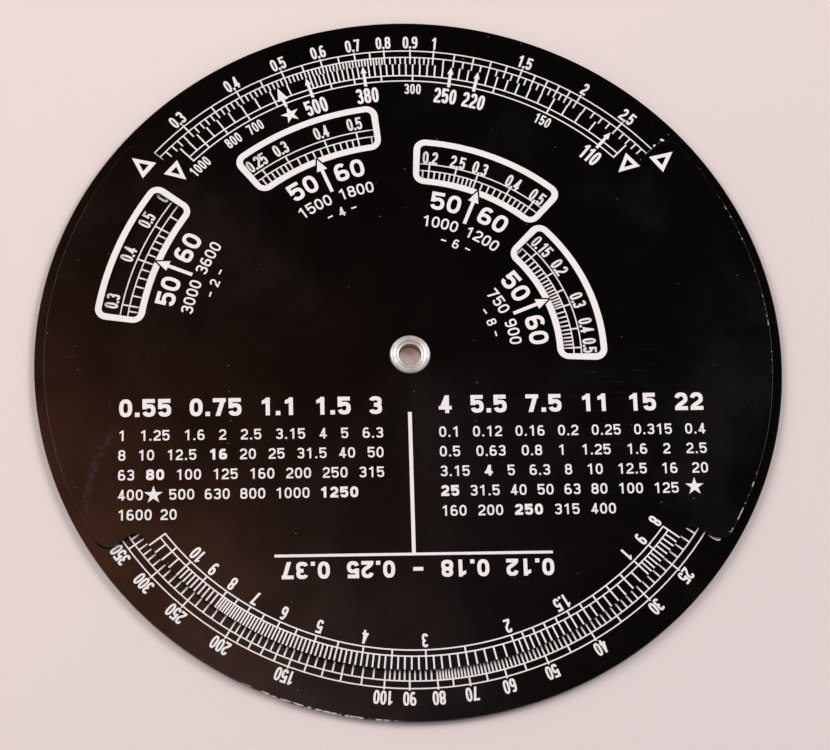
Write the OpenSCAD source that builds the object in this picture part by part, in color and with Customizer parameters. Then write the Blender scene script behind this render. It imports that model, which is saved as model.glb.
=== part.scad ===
// Circular slide rule: two thin printed discs pinned together by one hollow eyelet.
// The base disc carries a ring of amperes and four rings of power, all logarithmic.
// The cover disc turns on the base. It has two cut-outs at its edge and four windows.
// Millimetres. Z is up, the floor is z = 0, and +Y is the cover's top at rest.
// A turn is an angle in degrees, counted clockwise from +Y as seen from above.

/* [Base disc] */
// Diameter of the base disc
base_d = 160; // [150:0.5:200]
// Thickness of the base disc
base_t = 1; // [0.6:0.05:2]
// Small bevel on the rim of the base disc
base_bevel = 0.12; // [0.05:0.01:0.25]
// How far clockwise the base is turned at rest: where its 1 ampere mark stands
base_setting = 5.7; // [-180:0.1:180]

/* [Cover disc] */
// Thickness of the cover disc
cover_t = 0.8; // [0.5:0.05:1.6]
// Width of base rim left bare beside the cover's tabs
rim_margin = 2.1; // [1:0.1:4]
// Air between the discs, which also clears the base's print
disc_gap = 0.12; // [0.09:0.01:0.3]
// Depth from the base's rim to the cover's edge in its cut-outs, where the scales meet
meet_inset = 10.6; // [9.5:0.1:13]
// Half the turn that the top cut-out spans
top_half_turn = 48.7; // [47.5:0.1:52]
// Half the turn that the bottom cut-out spans
low_half_turn = 56.3; // [54.5:0.1:60]
// Radius on the outer corners of the cover's tabs
tab_corner_r = 3.2; // [1:0.1:4.5]
// Fillet at the foot of each tab
tab_fillet_r = 1.4; // [0.5:0.1:2.5]

/* [Windows] */
// Depth from the cut-out edge to the middle of the outermost window
window_inset = 6.6; // [5.8:0.1:9]
// Step inwards from one window to the next
window_step = 8.6; // [8:0.02:9.2]
// Height of a window along the radius
window_h = 7.86; // [7:0.02:8.4]
// Length of a window round its own middle
window_len = 29.1; // [20:0.1:31]
// Gap between the ends of the two innermost frames, which sets the turn between the windows
frame_gap = 0.16; // [0.1:0.02:3]
// Radius on the corners of a window
window_corner_r = 1.1; // [0.4:0.1:2]
// Width of the printed frame round a window
frame_w = 1.45; // [0.8:0.05:1.7]

/* [Window arrows] */
// Length of a window's arrow
arrow_len = 8.3; // [5:0.1:10]
// Length of its head
arrow_head_len = 2.75; // [2:0.05:4]
// Width of its head
arrow_head_w = 2.4; // [1.6:0.1:3.4]
// Width of its shaft
arrow_shaft_w = 0.78; // [0.4:0.02:1.2]
// Depth of the arrow's tip below the window
arrow_tip_inset = 0.4; // [0.2:0.05:1]
// Bare gap that the frame leaves round the head
arrow_gap = 0.35; // [0.2:0.05:0.6]

/* [Eyelet] */
// Bore of the hollow eyelet
eyelet_bore_d = 4.7; // [3:0.1:6]
// Thickness of its sheet
eyelet_wall = 0.3; // [0.2:0.02:0.5]
// Diameter of the rolled flange on top
flange_d = 8.7; // [7.6:0.1:11]
// Height of the flange above the cover
flange_h = 0.65; // [0.4:0.05:1]
// Diameter of the clinched end under the base
clinch_d = 8; // [6.6:0.1:10]
// Depth of the clinched end below the base
clinch_h = 0.4; // [0.3:0.05:0.6]
// Radial running clearance between the eyelet and the cover's hole
running_fit = 0.05; // [0.02:0.01:0.1]
// Radial clearance between the eyelet and the base's hole
seat_fit = 0.02; // [0.01:0.01:0.05]
// Play between the flange and the cover
flange_play = 0.03; // [0.02:0.01:0.1]

/* [Print] */
// Thickness of the printed white layer
ink_t = 0.04; // [0.02:0.01:0.06]
// Width of the long curved lines
line_w = 0.28; // [0.15:0.01:0.4]
// Width of the graduation marks
mark_w = 0.34; // [0.15:0.01:0.4]
// How far a closing mark runs into the line that it ends on, as a share of that line
mark_seat = 0.4; // [0:0.05:0.45]
// Distance that print keeps from a cut edge
edge_clear = 0.05; // [0.02:0.01:0.15]

/* [Ampere scale] */
// Depth from the rim to the ampere scale's outer line
ampere_inset = 6.9; // [6:0.1:8]
// Distance between its two lines
ampere_band = 1.6; // [1:0.05:1.9]
// Turn of one decade
ampere_decade = 90; // [80:0.5:90]
// Lowest current on the scale
ampere_low = 0.25; // [0.1:0.05:0.3]
// Highest current on it
ampere_high = 400; // [350:50:900]
// How far its marks run on below the cover
hidden_run = 0.4; // [0:0.1:1]
// How far the bars that carry a figure stand out past the outer line
figure_run = 0.4; // [0.2:0.05:0.6]

/* [Power scales] */
// Depth of a power scale's outer line below the middle of its window
power_inset = 0.1; // [0:0.05:0.8]
// Distance between its two lines
power_band = 1.62; // [1:0.02:1.9]
// Length of its marks
power_mark = 2.7; // [1.5:0.1:2.8]
// Turn of one decade on each power scale, outermost first
power_decade = [81, 80, 77.8, 71.9]; // [65:0.1:84]
// Turn from the 1 ampere mark to each scale's 1, outermost first
power_unit = [-41.7, 7.3, 55.7, 103.5]; // [-180:0.1:180]
// Lowest power on the scales
power_low = 0.1; // [0.1:0.1:1]
// Highest power on the scales
power_high = 500; // [50:50:800]

/* [Volt scale] */
// Depth from the cut-out edge to the first line of both cover scales
cover_inset = 2.9; // [2:0.1:3.4]
// Distance between the two lines of both cover scales
cover_band = 1.3; // [0.8:0.05:1.6]
// Turn of one decade on both cover scales
cover_decade = 90; // [86:0.5:90]
// Voltages marked by an arrow
arrow_volts = [500, 380, 250, 220, 110]; // [100:10:1000]
// Length of an arrow's head
volt_head_len = 1.7; // [1.2:0.1:2.6]
// Width of an arrow's head
volt_head_w = 1.4; // [0.9:0.1:1.7]
// Width of an arrow's shaft
volt_shaft_w = 0.68; // [0.4:0.02:1]
// How far a shaft runs on below the scale
volt_shaft_run = 0.8; // [0.3:0.1:1.5]
// Voltage that the star's arrow marks, a thousand over root three
star_volts = 577; // [560:1:590]
// Length of the star arrow's head
star_head_len = 3.2; // [2:0.1:3.8]
// Width of the star arrow's head
star_head_w = 2.4; // [1.4:0.1:2.8]
// Radius of the star's points
star_r = 2.15; // [1:0.05:2.6]

/* [Lower scale] */
// Lowest value on the cover's bottom scale
lower_low = 0.8; // [0.8:0.1:1]
// Highest value on it
lower_high = 12; // [10:1:12]

/* [Divider] */
// Length of the upright line between the two columns
upright_len = 31.5; // [20:0.5:34]
// Width of the upright line
upright_w = 0.8; // [0.4:0.05:1.2]
// Length of the line across its foot
crossline_len = 58; // [30:0.5:64]
// Width of the line across its foot
crossline_w = 0.6; // [0.4:0.05:1]
// Depth from the cut-out edge to the line across
crossline_inset = 24.85; // [22:0.05:34]
// Sideways offset of both lines
divider_shift = -0.4; // [-1:0.1:1]

/* [Hidden] */

// Heights of the faces, from the floor up
base_z = clinch_h;
base_top = base_z + base_t;
cover_z = base_top + disc_gap;
cover_top = cover_z + cover_t;

// Radii of the discs and of the eyelet
base_r = base_d / 2;
cover_r = base_r - rim_margin;
meet_r = base_r - meet_inset;
bore_r = eyelet_bore_d / 2;
barrel_r = bore_r + eyelet_wall;
flange_r = flange_d / 2;
clinch_r = clinch_d / 2;

// Radii of the scales' outer lines
ampere_r = base_r - ampere_inset;
volt_r = meet_r - cover_inset;

disc_fn = 360;
arc_step = 1.5;
// A mark counts as inside a scale's ends up to this share past them
end_slack = 0.0001;

// Graduation rules inside one decade: from, to, step
fine_steps = [[1, 2, 0.05], [2, 8, 0.1], [8, 10, 0.2]];
bar_steps = [[1, 2, 0.1], [2, 8, 0.5], [8, 10, 1]];
figure_steps = [[1, 3, 0.5], [3, 10, 1]];
power_fine = [[1, 3, 0.1], [3, 5, 0.2], [5, 10, 0.5]];
volt_fine = [[1, 5, 0.1], [5, 10, 0.5]];
volt_bars = [[1, 5, 0.5], [5, 10, 1]];

// A point at a turn and a distance from the centre, or from another point
function at(turn, r, from = [0, 0]) = from + [r * sin(turn), r * cos(turn)];

// Points along an arc from one turn to another
function arc(r, turn_0, turn_1, from = [0, 0], step = arc_step) =
  let(n = max(1, ceil(abs(turn_1 - turn_0) / step)))
  [for (i = [0:n]) at(turn_0 + (turn_1 - turn_0) * i / n, r, from)];

// The turn of a value on a logarithmic scale whose 1 stands at unit_turn
function turn_of(value, unit_turn, decade_turn) = unit_turn + decade_turn * log(value);

// Every value that a list of graduation rules marks between low and high
function marks(rules, low, high) = [
  for (decade = [floor(log(low) + end_slack):floor(log(high) + end_slack)])
    for (rule = rules)
      for (k = [0:round((rule[1] - rule[0]) / rule[2]) - 1])
        let(value = pow(10, decade) * (rule[0] + k * rule[2]))
          if (value > low * (1 - end_slack) && value < high * (1 + end_slack)) value
];

// The middle of each window, with number 0 outermost
function window_r(number) = meet_r - window_inset - number * window_step;
// The inner two frames stand end to end, since the same length spans the widest turn there
frame_len = window_len + 2 * frame_w + frame_gap;
window_turn = frame_len * (1 / window_r(2) + 1 / window_r(3)) * 90 / PI;
function window_at(number) = (number - 1.5) * window_turn;

// A sector with rounded corners: its middle radius, height and length
function sector_outline(mid_r, height, length, corner_r) =
  let(
    outer_r = mid_r + height / 2,
    inner_r = mid_r - height / 2,
    half = length / mid_r * 90 / PI,
    outer_turn = half - asin(corner_r / (outer_r - corner_r)),
    inner_turn = half - asin(corner_r / (inner_r + corner_r)),
    outer_centre = at(outer_turn, outer_r - corner_r),
    inner_centre = at(inner_turn, inner_r + corner_r),
    right = concat(
      arc(outer_r, 0, outer_turn),
      arc(corner_r, outer_turn, half + 90, outer_centre, 15),
      arc(corner_r, half + 90, inner_turn + 180, inner_centre, 15),
      arc(inner_r, inner_turn, 0)
    )
  )
  concat(right, [for (i = [len(right) - 1:-1:0]) [-right[i][0], right[i][1]]]);

// Right half of a cut-out at the cover's edge: filleted at its foot, flared at the tab's corner
function cutout_half(half) =
  let(
    foot_turn = half - asin(tab_fillet_r / (meet_r + tab_fillet_r)),
    foot_centre = at(foot_turn, meet_r + tab_fillet_r),
    tab_turn = half + asin(tab_corner_r / (cover_r - tab_corner_r)),
    tab_centre = at(tab_turn, cover_r - tab_corner_r)
  )
  concat(
    arc(meet_r, 0, foot_turn),
    arc(tab_fillet_r, foot_turn + 180, half + 90, foot_centre, 15),
    arc(tab_corner_r, half - 90, tab_turn, tab_centre, 10),
    arc(base_r, tab_turn, 0)
  );

module cutout(half) {
  right = cutout_half(half);
  polygon(concat(right, [for (i = [len(right) - 1:-1:0]) [-right[i][0], right[i][1]]]));
}

// A thin line round the whole disc
module ring_line(r) {
  difference() {
    circle(r = r + line_w / 2, $fn = disc_fn);
    circle(r = r - line_w / 2, $fn = disc_fn);
  }
}

// The same line between two turns
module arc_line(r, turn_0, turn_1) {
  intersection() {
    ring_line(r);
    polygon(concat([[0, 0]], arc(2 * r, turn_0, turn_1, step = 30)));
  }
}

// One mark along the radius
module mark(turn, r_0, r_1) {
  rotate(-turn) translate([-mark_w / 2, r_0]) square([mark_w, r_1 - r_0]);
}

// An arrow that points outwards, with its tip on the given radius
module arrow(turn, tip_r, head_len, head_w, shaft_w, total_len) {
  rotate(-turn) polygon([
    [0, tip_r],
    [-head_w / 2, tip_r - head_len],
    [-shaft_w / 2, tip_r - head_len],
    [-shaft_w / 2, tip_r - total_len],
    [shaft_w / 2, tip_r - total_len],
    [shaft_w / 2, tip_r - head_len],
    [head_w / 2, tip_r - head_len]
  ]);
}

// A printed layer on one of the discs
module print_on(z) {
  color("white") translate([0, 0, z]) linear_extrude(ink_t) children();
}

// Plain disc with bevelled rim and a hole for the eyelet
module base_disc() {
  hole_r = barrel_r + seat_fit;
  color("#1b1a1a") translate([0, 0, base_z]) rotate_extrude($fn = disc_fn) polygon([
    [hole_r, 0],
    [base_r - base_bevel, 0],
    [base_r, base_bevel],
    [base_r, base_t - base_bevel],
    [base_r - base_bevel, base_t],
    [hole_r, base_t]
  ]);
}

// Disc with two cut-outs at its edge, four windows and a running hole
module cover_disc() {
  color("#171616") translate([0, 0, cover_z]) linear_extrude(cover_t) difference() {
    circle(r = cover_r, $fn = disc_fn);
    circle(r = barrel_r + running_fit, $fn = 64);
    cutout(top_half_turn);
    rotate(180) cutout(low_half_turn);
    for (number = [0:3])
      rotate(-window_at(number))
        polygon(sector_outline(window_r(number), window_h, window_len, window_corner_r));
  }
}

// Height of the flange's upper face over the cover at a radius: a rounded rim, a crown,
// a funnel with a small ledge, then the rounded mouth of the bore
function flange_face(r) =
  let(
    crown_r = flange_r - 0.28 * (flange_r - bore_r),
    ledge_r = bore_r + 0.3 * (flange_r - bore_r),
    ledge_h = 0.5 * flange_h
  )
  r > crown_r
    ? flange_h * sqrt(max(0, 1 - pow((r - crown_r) / (flange_r - crown_r), 2)))
    : r > ledge_r
      ? ledge_h + (flange_h - ledge_h) * sin(90 * (r - ledge_r) / (crown_r - ledge_r))
      : ledge_h * sqrt(max(0, 1 - pow((ledge_r - r) / (ledge_r - bore_r), 2)));

// Hollow eyelet: rolled flange over the cover, barrel, and an end clinched under the base
module eyelet() {
  flange_z = cover_top + flange_play;
  rim_steps = 24;
  face = [
    for (i = [0:rim_steps])
      let(r = flange_r + (bore_r - flange_r) * (1 - cos(180 * i / rim_steps)) / 2)
        [r, flange_z + flange_face(r)]
  ];
  roll_r = clinch_h;
  color("#c9c6c2") rotate_extrude($fn = 96) polygon(concat(
    face,
    [for (i = [0:6]) [bore_r + roll_r * (1 - cos(15 * i)), roll_r * (1 - sin(15 * i))]],
    [for (i = [0:6]) [clinch_r - roll_r * (1 - sin(15 * i)), roll_r * (1 - cos(15 * i))]],
    [[barrel_r, base_z], [barrel_r, flange_z]]
  ));
}

// Amperes: two lines round most of the base, bars between them and fine marks down to the cover.
// The bar at the lowest current only closes the lines, with no figure and nothing past them.
module ampere_scale() {
  inner_r = ampere_r - ampere_band;
  unit = base_setting;
  decade = ampere_decade;
  print_on(base_top) {
    arc_pair(ampere_r, inner_r, turn_of(ampere_low, unit, decade), turn_of(ampere_high, unit, decade));
    for (value = marks(bar_steps, ampere_low, ampere_high))
      mark(turn_of(value, unit, decade), inner_r, ampere_r);
    for (value = marks(figure_steps, ampere_low * (1 + 2 * end_slack), ampere_high))
      mark(turn_of(value, unit, decade), ampere_r, ampere_r + figure_run);
    for (value = marks(fine_steps, ampere_low, ampere_high))
      mark(turn_of(value, unit, decade), meet_r - hidden_run, inner_r);
  }
}

// Power for one window: the same make of scale, open between its highest and lowest value
module power_scale(number) {
  outer_r = window_r(number) - power_inset;
  inner_r = outer_r - power_band;
  unit = base_setting + power_unit[number];
  decade = power_decade[number];
  print_on(base_top) {
    arc_pair(outer_r, inner_r, turn_of(power_low, unit, decade), turn_of(power_high, unit, decade));
    for (value = marks(figure_steps, power_low, power_high))
      mark(turn_of(value, unit, decade), inner_r, outer_r);
    for (value = marks(power_fine, power_low, power_high))
      mark(turn_of(value, unit, decade), inner_r - power_mark, inner_r);
  }
}

// Two long lines over more than half a turn: whole rings less the sector that stays open
module arc_pair(outer_r, inner_r, turn_0, turn_1) {
  difference() {
    union() {
      ring_line(outer_r);
      ring_line(inner_r);
    }
    polygon(concat([[0, 0]], arc(2 * outer_r, turn_1, turn_0 + 360, step = 30)));
  }
}

// Volts, falling clockwise, with arrows at the usual supply voltages
module volt_scale() {
  low = 100;
  high = 1000;
  inner_r = volt_r - cover_band;
  tip_r = meet_r - edge_clear;
  unit = cover_decade * log(sqrt(low * high));
  print_on(cover_top) {
    arc_line(volt_r, turn_of(high, unit, -cover_decade), turn_of(low, unit, -cover_decade));
    arc_line(inner_r, turn_of(high, unit, -cover_decade), turn_of(low, unit, -cover_decade));
    for (value = marks(volt_bars, low, high))
      mark(turn_of(value, unit, -cover_decade), inner_r - line_w * mark_seat, volt_r);
    for (value = marks(volt_fine, low, high))
      if (min([for (marked = arrow_volts) abs(value - marked)]) > 1)
        mark(turn_of(value, unit, -cover_decade), volt_r, tip_r);
    for (value = arrow_volts)
      arrow(
        turn_of(value, unit, -cover_decade), tip_r, volt_head_len, volt_head_w, volt_shaft_w,
        tip_r - inner_r + volt_shaft_run
      );
    arrow(
      turn_of(star_volts, unit, -cover_decade), tip_r, star_head_len, star_head_w, volt_shaft_w,
      tip_r - inner_r + volt_shaft_run
    );
  }
}

// The cover's bottom scale, rising clockwise
module lower_scale() {
  inner_r = volt_r - cover_band;
  unit = 180 - cover_decade * log(sqrt(lower_low * lower_high));
  start = turn_of(lower_low, unit, cover_decade);
  end = turn_of(lower_high, unit, cover_decade);
  print_on(cover_top) {
    arc_line(volt_r, start, end);
    arc_line(inner_r, start, end);
    for (value = marks(bar_steps, lower_low, lower_high))
      mark(turn_of(value, unit, cover_decade), inner_r - line_w * mark_seat, volt_r);
    for (value = marks(fine_steps, lower_low, lower_high))
      mark(turn_of(value, unit, cover_decade), volt_r, meet_r - edge_clear);
  }
}

// Five-pointed star under its arrow
module star_mark() {
  waist = star_r * sin(18) / sin(54);
  centre_r = volt_r - cover_band - volt_shaft_run - star_r + edge_clear;
  turn = cover_decade * log(sqrt(100 * 1000) / star_volts);
  print_on(cover_top) rotate(-turn) polygon([
    for (i = [0:9]) at(36 * i, i % 2 == 0 ? star_r : waist, [0, centre_r])
  ]);
}

// Upright line between the two columns, standing on a line across
module divider_lines() {
  print_on(cover_top) translate([divider_shift, crossline_inset - meet_r]) {
    translate([-crossline_len / 2, -crossline_w / 2]) square([crossline_len, crossline_w]);
    translate([-upright_w / 2, 0]) square([upright_w, upright_len]);
  }
}

// Printed frame round a window, notched for the arrow's head
module window_frame(number) {
  mid_r = window_r(number);
  inner = edge_clear * 2;
  tip_r = mid_r - window_h / 2 - arrow_tip_inset;
  flank = atan(arrow_head_w / 2 / arrow_head_len);
  notch_tip = tip_r + arrow_gap / sin(flank);
  notch_depth = 2 * arrow_head_len;
  print_on(cover_top) rotate(-window_at(number)) difference() {
    polygon(sector_outline(
      mid_r, window_h + 2 * frame_w, window_len + 2 * frame_w, window_corner_r + frame_w
    ));
    polygon(sector_outline(mid_r, window_h + inner, window_len + inner, window_corner_r));
    polygon([
      [0, notch_tip],
      [notch_depth * tan(flank), notch_tip - notch_depth],
      [-notch_depth * tan(flank), notch_tip - notch_depth]
    ]);
  }
}

// Arrow that points at the reading in a window
module window_arrow(number) {
  tip_r = window_r(number) - window_h / 2 - arrow_tip_inset;
  print_on(cover_top)
    arrow(window_at(number), tip_r, arrow_head_len, arrow_head_w, arrow_shaft_w, arrow_len);
}

base_disc();
cover_disc();
eyelet();
ampere_scale();
volt_scale();
lower_scale();
star_mark();
divider_lines();
for (number = [0:3]) {
  power_scale(number);
  window_frame(number);
  window_arrow(number);
}
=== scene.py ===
import bpy
import numpy as np
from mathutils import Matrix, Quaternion, Vector
from mathutils.geometry import delaunay_2d_cdt


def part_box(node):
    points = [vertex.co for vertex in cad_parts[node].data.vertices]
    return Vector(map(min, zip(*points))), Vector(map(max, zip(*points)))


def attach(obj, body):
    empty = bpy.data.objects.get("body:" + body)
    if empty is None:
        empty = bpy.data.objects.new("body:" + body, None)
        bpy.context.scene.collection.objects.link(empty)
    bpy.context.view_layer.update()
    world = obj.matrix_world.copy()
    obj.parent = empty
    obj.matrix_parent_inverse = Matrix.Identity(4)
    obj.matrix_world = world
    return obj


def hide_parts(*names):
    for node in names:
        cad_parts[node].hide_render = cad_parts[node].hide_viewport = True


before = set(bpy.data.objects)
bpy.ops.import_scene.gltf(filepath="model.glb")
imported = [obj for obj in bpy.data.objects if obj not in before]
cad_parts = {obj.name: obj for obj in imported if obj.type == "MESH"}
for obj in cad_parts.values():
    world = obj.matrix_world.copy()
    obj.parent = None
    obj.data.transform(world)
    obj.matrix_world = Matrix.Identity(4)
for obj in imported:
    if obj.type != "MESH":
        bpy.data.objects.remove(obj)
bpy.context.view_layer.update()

# Base disc. One round sheet of black rigid plastic, punched out and with its rim lightly broken.
# It is printed in white on its upper face before the eyelet joins it to the cover.
# Flat drawings are in millimetres, and a mesh gets its metres at the very end.
MM = 0.001
EDGE_ROUND = 0.055
EDGE_STEPS = 5
RIM_POINTS = 720
HOLE_POINTS = 96
HOLE_RADIUS = 2.7
INSIDE_ONLY, SAME_POINT = 1, 1e-7
WELD_STEPS = 1e4
base_low, base_high = (corner.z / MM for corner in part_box("base_disc"))
base_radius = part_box("base_disc")[1].x / MM


def at(turn, radius, centre=(0.0, 0.0)):
    """Points at a turn, in degrees clockwise from +Y, and a distance from a centre."""
    turn = np.radians(np.asarray(turn, float))
    return np.stack([centre[0] + radius * np.sin(turn), centre[1] + radius * np.cos(turn)], -1)


def turned_left(loop):
    """Whether a closed loop runs anticlockwise: the sum of its cross products is positive."""
    after = np.roll(loop, -1, 0)
    return np.sum(loop[:, 0] * after[:, 1] - after[:, 0] * loop[:, 1]) > 0


def fill(loops, keep):
    """Triangles of a flat drawing: a constrained Delaunay net over closed loops, of which the
    triangles stay whose list of covering loops passes `keep`."""
    ends = np.cumsum([0] + [len(loop) for loop in loops])
    faces = [list(range(a, b)) for a, b in zip(ends[:-1], ends[1:])]
    faces = [face if turned_left(loop) else face[::-1] for face, loop in zip(faces, loops)]
    vectors = [Vector(point) for point in np.concatenate(loops)]
    net = delaunay_2d_cdt(vectors, [], faces, INSIDE_ONLY, SAME_POINT)
    points = np.array([tuple(point) for point in net[0]])
    corners = np.array([triangle for triangle, owners in zip(net[2], net[5]) if keep(owners)])
    a, b, c = points[corners[:, 0]], points[corners[:, 1]], points[corners[:, 2]]
    turned_right = (b - a)[:, 0] * (c - a)[:, 1] - (b - a)[:, 1] * (c - a)[:, 0] < 0
    corners[turned_right] = corners[turned_right][:, ::-1]
    return points, corners


def new_piece(name, points, face_groups, smooth):
    """A mesh object from points in millimetres and groups of like faces, of which each is smooth
    or flat. Points that share one place to a ten-thousandth are welded, and the smooth faces
    are marked as the rim."""
    places = np.round(points * WELD_STEPS)
    _, first, same = np.unique(places, axis=0, return_index=True, return_inverse=True)
    same = same.ravel()
    corners = np.concatenate([same[group].ravel() for group in face_groups])
    counts = np.concatenate([np.full(len(group), group.shape[1]) for group in face_groups])
    is_smooth = np.concatenate([np.full(len(group), s) for group, s in zip(face_groups, smooth)])
    mesh = bpy.data.meshes.new(name)
    mesh.vertices.add(len(first))
    mesh.vertices.foreach_set("co", (points[first] * MM).ravel())
    mesh.loops.add(len(corners))
    mesh.loops.foreach_set("vertex_index", corners)
    mesh.polygons.add(len(counts))
    mesh.polygons.foreach_set("loop_start", np.cumsum(counts) - counts)
    mesh.polygons.foreach_set("use_smooth", is_smooth)
    rim = mesh.attributes.new("rim", "FLOAT", "FACE")
    rim.data.foreach_set("value", is_smooth.astype(np.float32))
    mesh.update(calc_edges=True)
    piece = bpy.data.objects.new(name, mesh)
    bpy.context.scene.collection.objects.link(piece)
    return piece


def strip(rows, columns, start):
    """Quads of a grid whose columns close on themselves, facing out of a loop that keeps the
    solid on its left."""
    k, j = np.meshgrid(np.arange(rows - 1), np.arange(columns), indexing="ij")
    right = (j + 1) % columns
    corners = [k * columns + j, (k + 1) * columns + j, (k + 1) * columns + right, k * columns + right]
    return start + np.stack(corners, -1).reshape(-1, 4)


def plate(name, outlines, low, high):
    """A flat plate with holes. Every outline keeps the plastic on its left. A quarter circle, a
    straight wall and a second quarter circle are carried along it, with the normal taken from
    the points on either side, and two flat faces close what lies between the outlines."""
    quarter = np.radians(np.linspace(0, 90, EDGE_STEPS + 1))
    inset = EDGE_ROUND * (1 - np.sin(quarter))
    drop = EDGE_ROUND * (1 - np.cos(quarter))
    inset = np.concatenate([inset, inset[::-1]])
    height = np.concatenate([high - drop, low + drop[::-1]])
    points, faces, lips = [], [], []
    count = 0
    for loop in outlines:
        along = np.roll(loop, -1, 0) - np.roll(loop, 1, 0)
        along /= np.linalg.norm(along, axis=1)[:, None]
        inward = np.stack([-along[:, 1], along[:, 0]], -1)
        flat = loop[None] + inset[:, None, None] * inward[None]
        tall = np.broadcast_to(height[:, None, None], flat.shape[:2] + (1,))
        points.append(np.concatenate([flat, tall], -1).reshape(-1, 3))
        faces.append(strip(len(height), len(loop), count))
        lips.append(flat[0])
        count += len(points[-1])
    sides = np.concatenate(faces)
    corner_points, corners = fill(lips, lambda owners: owners == [0])
    top = np.column_stack([corner_points, np.full(len(corner_points), high)])
    bottom = np.column_stack([corner_points, np.full(len(corner_points), low)])
    points = np.concatenate(points + [top, bottom])
    flat_faces = np.concatenate([corners + count, corners[:, ::-1] + count + len(top)])
    return new_piece(name, points, [sides, flat_faces], [True, False])


full_turn = np.linspace(360, 0, RIM_POINTS, endpoint=False)
hole_turn = np.linspace(0, 360, HOLE_POINTS, endpoint=False)
base_outlines = [at(full_turn, base_radius), at(hole_turn, HOLE_RADIUS)]
base_sheet = plate("base_sheet", base_outlines, base_low, base_high)


def add_node(tree, kind, inputs=None, **settings):
    """A new shader node. The settings are its own options, and each input is a number, a
    colour or the output that feeds it."""
    node = tree.nodes.new(kind)
    for option, value in settings.items():
        setattr(node, option, value)
    for key, value in (inputs or {}).items():
        if isinstance(value, bpy.types.NodeSocket):
            tree.links.new(value, node.inputs[key])
        else:
            node.inputs[key].default_value = value
    return node


def math(tree, operation, a, b=0.0, clamp=False):
    """One operation on two numbers."""
    return add_node(tree, "ShaderNodeMath", {0: a, 1: b}, operation=operation, use_clamp=clamp).outputs[0]


def product(tree, total, *others):
    """Several numbers multiplied together."""
    for other in others:
        total = math(tree, "MULTIPLY", total, other)
    return total


def ramp(tree, value, low, high, to_low=0.0, to_high=1.0):
    """A soft step from to_low to to_high as a value goes from low to high."""
    inputs = {"Value": value, "From Min": low, "From Max": high, "To Min": to_low, "To Max": to_high}
    return add_node(tree, "ShaderNodeMapRange", inputs, interpolation_type="SMOOTHSTEP").outputs[0]


def place(tree, scale=(1, 1, 1), turn=0.0):
    """Object coordinates, stretched and turned about the pivot's axis."""
    coordinates = add_node(tree, "ShaderNodeTexCoord").outputs["Object"]
    inputs = {"Vector": coordinates, "Rotation": (0, 0, np.radians(turn)), "Scale": scale}
    return add_node(tree, "ShaderNodeMapping", inputs).outputs[0]


def noise(tree, scale, detail, roughness=0.5, vector=None):
    """Smooth noise with so many cells in a metre, and finer layers over it."""
    vector = place(tree) if vector is None else vector
    inputs = {"Vector": vector, "Scale": scale, "Detail": detail, "Roughness": roughness}
    return add_node(tree, "ShaderNodeTexNoise", inputs).outputs["Fac"]


def new_effect(name, numbers):
    """An empty node group with named numbers going in and one mask coming out."""
    tree = bpy.data.node_groups.new(name, "ShaderNodeTree")
    for label, value in numbers.items():
        socket = tree.interface.new_socket(name=label, in_out="INPUT", socket_type="NodeSocketFloat")
        socket.default_value = value
    tree.interface.new_socket(name="Mask", in_out="OUTPUT", socket_type="NodeSocketFloat")
    given = tree.nodes.new("NodeGroupInput").outputs
    return tree, given, tree.nodes.new("NodeGroupOutput").inputs["Mask"]


def dust_effect():
    """Specks of dust: round spots about random points, of which only a share is kept."""
    tree, given, mask = new_effect("dust", {"Spacing": 7.0, "Size": 0.1, "Share": 0.25})
    inputs = {"Vector": place(tree), "Scale": math(tree, "DIVIDE", 1.0 / MM, given["Spacing"])}
    cells = add_node(tree, "ShaderNodeTexVoronoi", inputs, voronoi_dimensions="2D").outputs
    lot = add_node(tree, "ShaderNodeSeparateColor", {0: cells["Color"]}).outputs
    radius = math(tree, "DIVIDE", given["Size"], given["Spacing"])
    radius = product(tree, radius, math(tree, "ADD", 0.4, lot[1]))
    spot = math(tree, "LESS_THAN", cells["Distance"], radius)
    kept = math(tree, "LESS_THAN", lot[0], given["Share"])
    tree.links.new(product(tree, spot, kept), mask)
    return tree


# Each direction's turn and its streaks in a metre, and how many times longer than wide they are
STREAKS = ((24, 90.0), (71, 120.0), (133, 105.0))
STREAK_STRETCH = 14


def scuff_effect():
    """Soft rubs: noise drawn out into short streaks in three directions, kept where it peaks,
    and thinned out by slow noise so that they come in patches."""
    tree, given, mask = new_effect("scuffs", {"Amount": 0.5})
    total = 0.0
    for turn, per_metre in STREAKS:
        vector = place(tree, (per_metre, per_metre * STREAK_STRETCH, per_metre), turn)
        streak = ramp(tree, noise(tree, 1.0, 2.0, vector=vector), 0.62, 0.78)
        total = math(tree, "MAXIMUM", total, streak)
    where = ramp(tree, noise(tree, 33.0, 2.0), 0.5, 0.7)
    tree.links.new(product(tree, total, where, given["Amount"]), mask)
    return tree


def smudge_effect():
    """Finger marks and haze: slow cloudy noise, with a finer noise breaking it up."""
    tree, given, mask = new_effect("smudges", {"Size": 35.0})
    cloud = noise(tree, math(tree, "DIVIDE", 1.0 / MM, given["Size"]), 6.0, 0.62)
    tree.links.new(ramp(tree, cloud, 0.48, 0.72), mask)
    return tree


dust = dust_effect()
scuffs = scuff_effect()
smudges = smudge_effect()


def new_material(name):
    """A material with one empty Principled BSDF, and its node tree."""
    material = bpy.data.materials.new(name)
    material.use_nodes = True
    return material, material.node_tree, material.node_tree.nodes["Principled BSDF"]


def effect(tree, group, **numbers):
    """One shared effect placed in a material with its own numbers."""
    return add_node(tree, "ShaderNodeGroup", numbers, node_tree=group).outputs["Mask"]


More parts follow.
